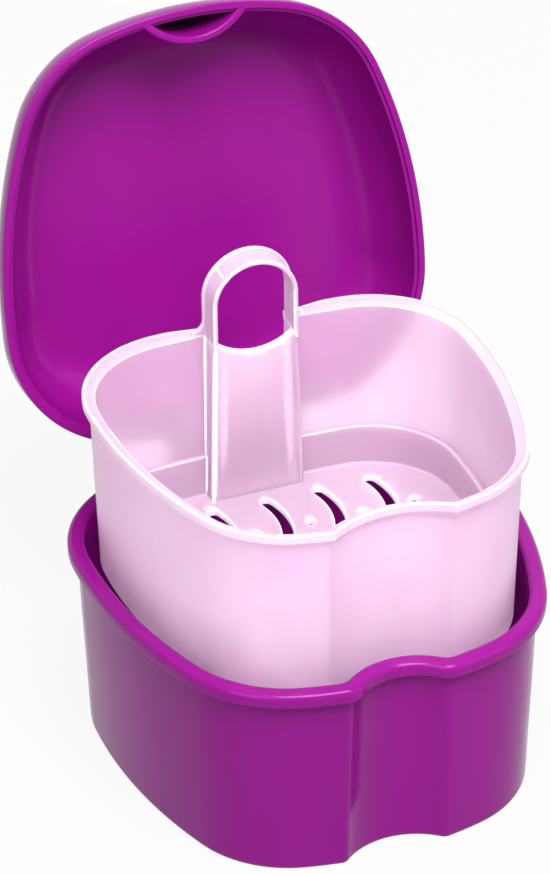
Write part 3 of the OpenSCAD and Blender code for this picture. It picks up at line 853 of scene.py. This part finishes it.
def opening_outline():
    """The finger opening in the column's face, in X and Z: a sagging floor, which is an arc of
    radius (half width squared + sag squared) / (2 sag), and straight sides above it."""
    half = LOOP_W / 2 - LOOP_BAND
    low = basket_h - OPENING_DROP
    sag_r = (half**2 + OPENING_SAG**2) / (2 * OPENING_SAG)
    reach = math.degrees(math.asin(half / sag_r))
    floor = rounding(0, low - OPENING_SAG + sag_r, sag_r, 270 - reach, 270 + reach, 33)
    above = [[half, basket_h + 2], [-half, basket_h + 2]]
    return np.concatenate([floor, above]) + [0, basket_z]


edge = OPENING_EDGE
opening_stops = [(loop_front - 1, -edge), (loop_front, -edge)]
opening_stops += [(loop_front + 0.3 * edge, -0.3 * edge), (loop_front + edge, 0)]
opening_stops += [(loop_front + BASKET_WALL + 0.5, 0)]
combine(basket, carried("opening", opening_outline(), opening_stops, axis=1), "DIFFERENCE")

# %% [markdown]
# Water drains through bowed slots with a small round hole beside each. One slot and one hole are
# described once and a loop places the copies, because the pattern repeats at an even pitch. The
# cuts widen at the floor's upper face, as the steel pins that form them do.

# %% Drain slots and holes
SLOT_PITCH, SLOT_W, SLOT_R, DRAIN_D, DRAIN_EDGE = 11.6, 2.3, 19.0, 1.8, 0.4
SLOT_START, SLOT_END, HOLE_DOWN = -40, 19.5, 4.0
SLOT_ROWS, SLOTS = (22.9, -6.0), 5


def slot_outline():
    """A band bowed to the right with round ends: two arcs about one centre, joined by halves."""
    outer = rounding(0, 0, SLOT_R + SLOT_W / 2, SLOT_START, SLOT_END, 25)
    inner = rounding(0, 0, SLOT_R - SLOT_W / 2, SLOT_END, SLOT_START, 21)
    tip, tail = (rounding(0, 0, SLOT_R, angle, angle, 1)[0] for angle in (SLOT_END, SLOT_START))
    tip_end = rounding(*tip, SLOT_W / 2, SLOT_END, SLOT_END + 180, 11)[1:-1]
    tail_end = rounding(*tail, SLOT_W / 2, SLOT_START + 180, SLOT_START + 360, 11)[1:-1]
    return np.concatenate([outer, tip_end, inner, tail_end])


def drain_cuts(row, column):
    """One slot and the round hole right of it, each flared at the floor's upper face."""
    x = (column - (SLOTS - 1) / 2) * SLOT_PITCH
    top = basket_z + floor_z
    stops = [(basket_z - 1, 0), (top - DRAIN_EDGE, 0)]
    stops += [(top - 0.3 * DRAIN_EDGE, -0.3 * DRAIN_EDGE)]
    stops += [(top + 0.01, -DRAIN_EDGE), (top + 1, -DRAIN_EDGE)]
    hole = rounding(x + SLOT_PITCH / 2, row - HOLE_DOWN, DRAIN_D / 2, 0, 345, 24)
    slot = slot_outline() + [x - SLOT_R * math.cos(math.radians(SLOT_END)), row]
    return [carried("slot_cut", slot, stops), carried("hole_cut", hole, stops)]


for row in SLOT_ROWS:
    for column in range(SLOTS):
        for drain in drain_cuts(row, column):
            combine(basket, drain, "DIFFERENCE")

# %% Put the three mouldings in place
finish_piece(cup, "cup", "cup_body", purple)
finish_piece(lid, "lid", "lid_body", purple)
finish_piece(basket, "basket", "basket_body", frosted)

# %% [markdown]
# The photograph was taken from the front left and well above, with a long lens. The camera's
# place was found by matching the outline of the lip and rims, and the slight roll is the
# photographer's. The floor and the world are plain, so that the case shows as it is.

# %% Camera
TARGET = np.array([-8.97, 0.0, 76.06]) * MM
AZIMUTH, ELEVATION, ROLL = -0.366, 0.570, -0.012
DISTANCE = 793.1 * MM
FOCAL_PIXELS, FRAME_PIXELS, SENSOR = 4034.6, 874, 36.0


def camera_axes():
    """Right, up and back of the camera, as columns. Back points from the target to the camera:
    (sin a cos e, -cos a cos e, sin e). Roll turns right and up about it."""
    a, e = AZIMUTH, ELEVATION
    right = np.array([math.cos(a), math.sin(a), 0])
    back = np.array([math.sin(a) * math.cos(e), -math.cos(a) * math.cos(e), math.sin(e)])
    up = np.cross(back, right)
    rolled = right * math.cos(ROLL) + up * math.sin(ROLL)
    return np.column_stack([rolled, np.cross(back, rolled), back])


axes = camera_axes()
camera_data = bpy.data.cameras.new("photo_camera")
camera_data.sensor_width = SENSOR
camera_data.lens = FOCAL_PIXELS * SENSOR / FRAME_PIXELS
camera_data.clip_end = 20
camera = bpy.data.objects.new("photo_camera", camera_data)
bpy.context.scene.collection.objects.link(camera)
matrix = np.eye(4)
matrix[:3, :3] = axes
matrix[:3, 3] = TARGET + DISTANCE * axes[:, 2]
camera.matrix_world = Matrix(matrix.tolist())
bpy.context.scene.camera = camera
print("camera at", (matrix[:3, 3] / MM).round(1).tolist(), "lens", round(camera_data.lens, 1))

# %% Floor and world
FLOOR_HALF = 4.0


def white_to_camera(tree, surface, level):
    """Mixes a surface with plain white light for rays from the camera, mirrors and clear pieces,
    so a pale ground looks white and still takes a soft shadow."""
    path = tree.nodes.new("ShaderNodeLightPath")
    seen = tree.nodes.new("ShaderNodeMath")
    seen.operation = "MAXIMUM"
    tree.links.new(path.outputs["Is Camera Ray"], seen.inputs[0])
    tree.links.new(path.outputs["Is Glossy Ray"], seen.inputs[1])
    also = tree.nodes.new("ShaderNodeMath")
    also.operation = "MAXIMUM"
    tree.links.new(seen.outputs[0], also.inputs[0])
    tree.links.new(path.outputs["Is Transmission Ray"], also.inputs[1])
    share = tree.nodes.new("ShaderNodeMath")
    share.operation = "MULTIPLY"
    share.inputs[1].default_value = level
    tree.links.new(also.outputs[0], share.inputs[0])
    white = tree.nodes.new("ShaderNodeEmission")
    mix = tree.nodes.new("ShaderNodeMixShader")
    tree.links.new(share.outputs[0], mix.inputs["Fac"])
    tree.links.new(surface, mix.inputs[1])
    tree.links.new(white.outputs["Emission"], mix.inputs[2])
    return mix.outputs["Shader"]


floor_mesh = bpy.data.meshes.new("floor")
corners = [(-FLOOR_HALF, -FLOOR_HALF, 0), (FLOOR_HALF, -FLOOR_HALF, 0)]
corners += [(FLOOR_HALF, FLOOR_HALF, 0), (-FLOOR_HALF, FLOOR_HALF, 0)]
floor_mesh.from_pydata(corners, [], [(0, 1, 2, 3)])
floor = bpy.data.objects.new("floor", floor_mesh)
bpy.context.scene.collection.objects.link(floor)
floor_material = bpy.data.materials.new("pale_floor")
floor_material.use_nodes = True
floor_tree = floor_material.node_tree
floor_shader = floor_tree.nodes["Principled BSDF"]
floor_shader.inputs["Base Color"].default_value = (0.45, 0.45, 0.45, 1)
floor_shader.inputs["Roughness"].default_value = 0.9
floor_output = floor_tree.nodes["Material Output"]
floor_surface = white_to_camera(floor_tree, floor_shader.outputs["BSDF"], 0.9)
floor_tree.links.new(floor_surface, floor_output.inputs["Surface"])
floor_mesh.materials.append(floor_material)
world = bpy.data.worlds.new("studio")
bpy.context.scene.world = world
world.use_nodes = True
world_tree = world.node_tree
background = world_tree.nodes["Background"]
background.inputs["Color"].default_value = (0.95, 0.96, 1.0, 1)
background.inputs["Strength"].default_value = 0.26
world_surface = white_to_camera(world_tree, background.outputs["Background"], 1.0)
world_tree.links.new(world_surface, world_tree.nodes["World Output"].inputs["Surface"])
print("floor and world are white to the camera")


# %% [markdown]
# A large light above the front reaches the inside of the lid and of the basket more than it does
# the upright walls, which is why the lid looks brighter than the cup. The other three are weaker
# and lift the sides and the back. Large soft lights suit glossy plastic, with wide, calm glints.

# %% Soft studio lights
def area_light(name, place, aim, size, power):
    """A square soft light, in metres and watts, turned to face a point."""
    data = bpy.data.lights.new(name, "AREA")
    data.size = size
    data.energy = power
    light = bpy.data.objects.new(name, data)
    bpy.context.scene.collection.objects.link(light)
    light.location = place
    direction = np.asarray(aim) - np.asarray(place)
    light.rotation_euler = Vector(direction).to_track_quat("-Z", "Y").to_euler()
    return light


AIM = (0, 0, 0.06)
area_light("key_left", (-0.9, -0.7, 0.9), AIM, 0.7, 7)
area_light("fill_right", (0.9, -0.8, 0.6), AIM, 0.6, 2)
area_light("top_front", (0.0, -0.55, 1.1), AIM, 0.6, 25)
area_light("top_back", (0.1, 0.6, 1.1), AIM, 0.5, 4)
print("four soft lights")

# %% View transform
bpy.context.scene.view_settings.view_transform = "Standard"
